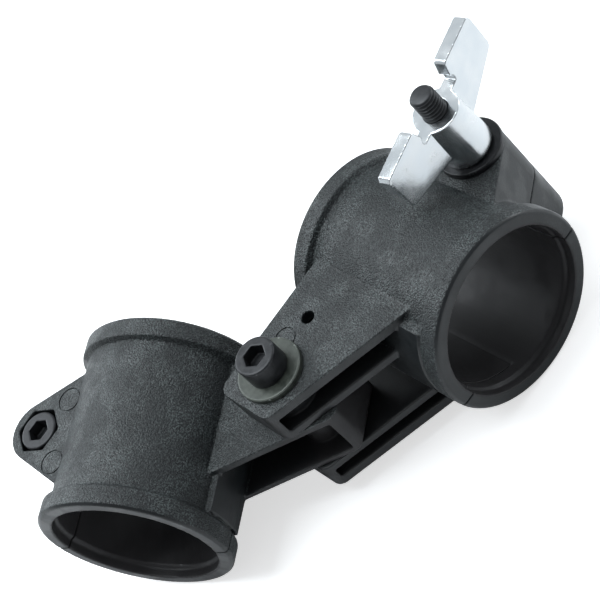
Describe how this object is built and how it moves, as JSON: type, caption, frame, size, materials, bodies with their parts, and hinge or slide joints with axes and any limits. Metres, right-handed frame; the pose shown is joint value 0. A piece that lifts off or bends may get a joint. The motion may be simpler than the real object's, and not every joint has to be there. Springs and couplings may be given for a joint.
{
  "type": "swivel bracket",
  "caption": "Swivel bracket of two split tube collars, one with a fork and one with a tongue, joined by a pivot screw; a wing nut closes the fork collar.",
  "frame": {"origin": "centre of the fork collar's tube seat, the collar with the wing nut", "axes": "+Y along the fork collar's tube, +Z along the swivel axis towards the pivot screw's head, +X away from the swivel axis towards the wing nut"},
  "size_m": [0.1464, 0.094, 0.0629],
  "materials": {
    "nylon_fork": "fine grained black",
    "nylon_tongue": "fine grained black",
    "black_steel": "black oxide, satin",
    "black_washer": "black, satin",
    "zinc_steel": "zinc plated, dull",
    "bright_zinc": "bright zinc plated casting"
  },
  "bodies": {
    "fork": {"fork_body": "nylon_fork", "pivot_nut": "zinc_steel"},
    "tongue": {"tongue_body": "nylon_tongue"},
    "pivot_washer": {"pivot_washer": "zinc_steel"},
    "pivot_screw": {"pivot_screw": "black_steel"},
    "fork_jaw": {"fork_jaw": "nylon_fork", "clamp_bolt": "black_steel"},
    "clamp_washer": {"clamp_washer": "black_washer"},
    "wing_nut": {"wing_nut": "bright_zinc"},
    "tongue_jaw": {"tongue_jaw": "nylon_tongue"},
    "ear_screw": {"ear_screw": "black_steel"},
    "ear_nut": {"ear_nut": "zinc_steel"}
  },
  "joints": [
    {"name": "swivel", "type": "hinge", "parent": "fork", "child": "tongue", "pos_m": [-0.0411, 0.0078, 0], "axis": [0, 0, 1], "range_deg": [-39, 117]},
    {"name": "pivot_lift", "type": "slide", "parent": "fork", "child": "pivot_washer", "axis": [0, 0, 1], "range_m": [0, 0.001]},
    {"name": "pivot_turn", "type": "hinge", "parent": "pivot_washer", "child": "pivot_screw", "pos_m": [-0.0411, 0.0078, 0.0183], "axis": [0, 0, 1], "range_deg": [0, 360]},
    {"name": "fork_jaw_swing", "type": "hinge", "parent": "fork", "child": "fork_jaw", "pos_m": [-0.0205, 0, -0.0054], "axis": [0, 1, 0], "range_deg": [0, 2.02]},
    {"name": "clamp_lift", "type": "slide", "parent": "fork_jaw", "child": "clamp_washer", "axis": [-0.0802, 0, 0.9968], "range_m": [0, 0.002]},
    {"name": "wing_turn", "type": "hinge", "parent": "clamp_washer", "child": "wing_nut", "pos_m": [0.02502, 0, 0.01765], "axis": [-0.0802, 0, 0.9968], "range_deg": [0, 720]},
    {"name": "ear_turn", "type": "hinge", "parent": "tongue", "child": "ear_screw", "pos_m": [-0.08215, 0.05973, 0.0095], "axis": [0, 0, 1], "range_deg": [0, 720]},
    {"name": "ear_nut_drop", "type": "slide", "parent": "tongue", "child": "ear_nut", "axis": [0, 0, -1], "range_m": [0, 0.002]},
    {"name": "tongue_jaw_swing", "type": "hinge", "parent": "tongue", "child": "tongue_jaw", "pos_m": [-0.05889, 0.0204, -0.0054], "axis": [-0.8607, -0.509, 0], "range_deg": [0, 2.02]}
  ],
  "couplings": [
    {"joint": "pivot_turn", "follows": "pivot_lift", "rad_per_m": 6283.2},
    {"joint": "wing_turn", "follows": "clamp_lift", "rad_per_m": 6283.2},
    {"joint": "fork_jaw_swing", "follows": "clamp_lift", "rad_per_m": 17.593},
    {"joint": "ear_turn", "follows": "ear_nut_drop", "rad_per_m": 6283.2},
    {"joint": "tongue_jaw_swing", "follows": "ear_nut_drop", "rad_per_m": 17.593}
  ]
}
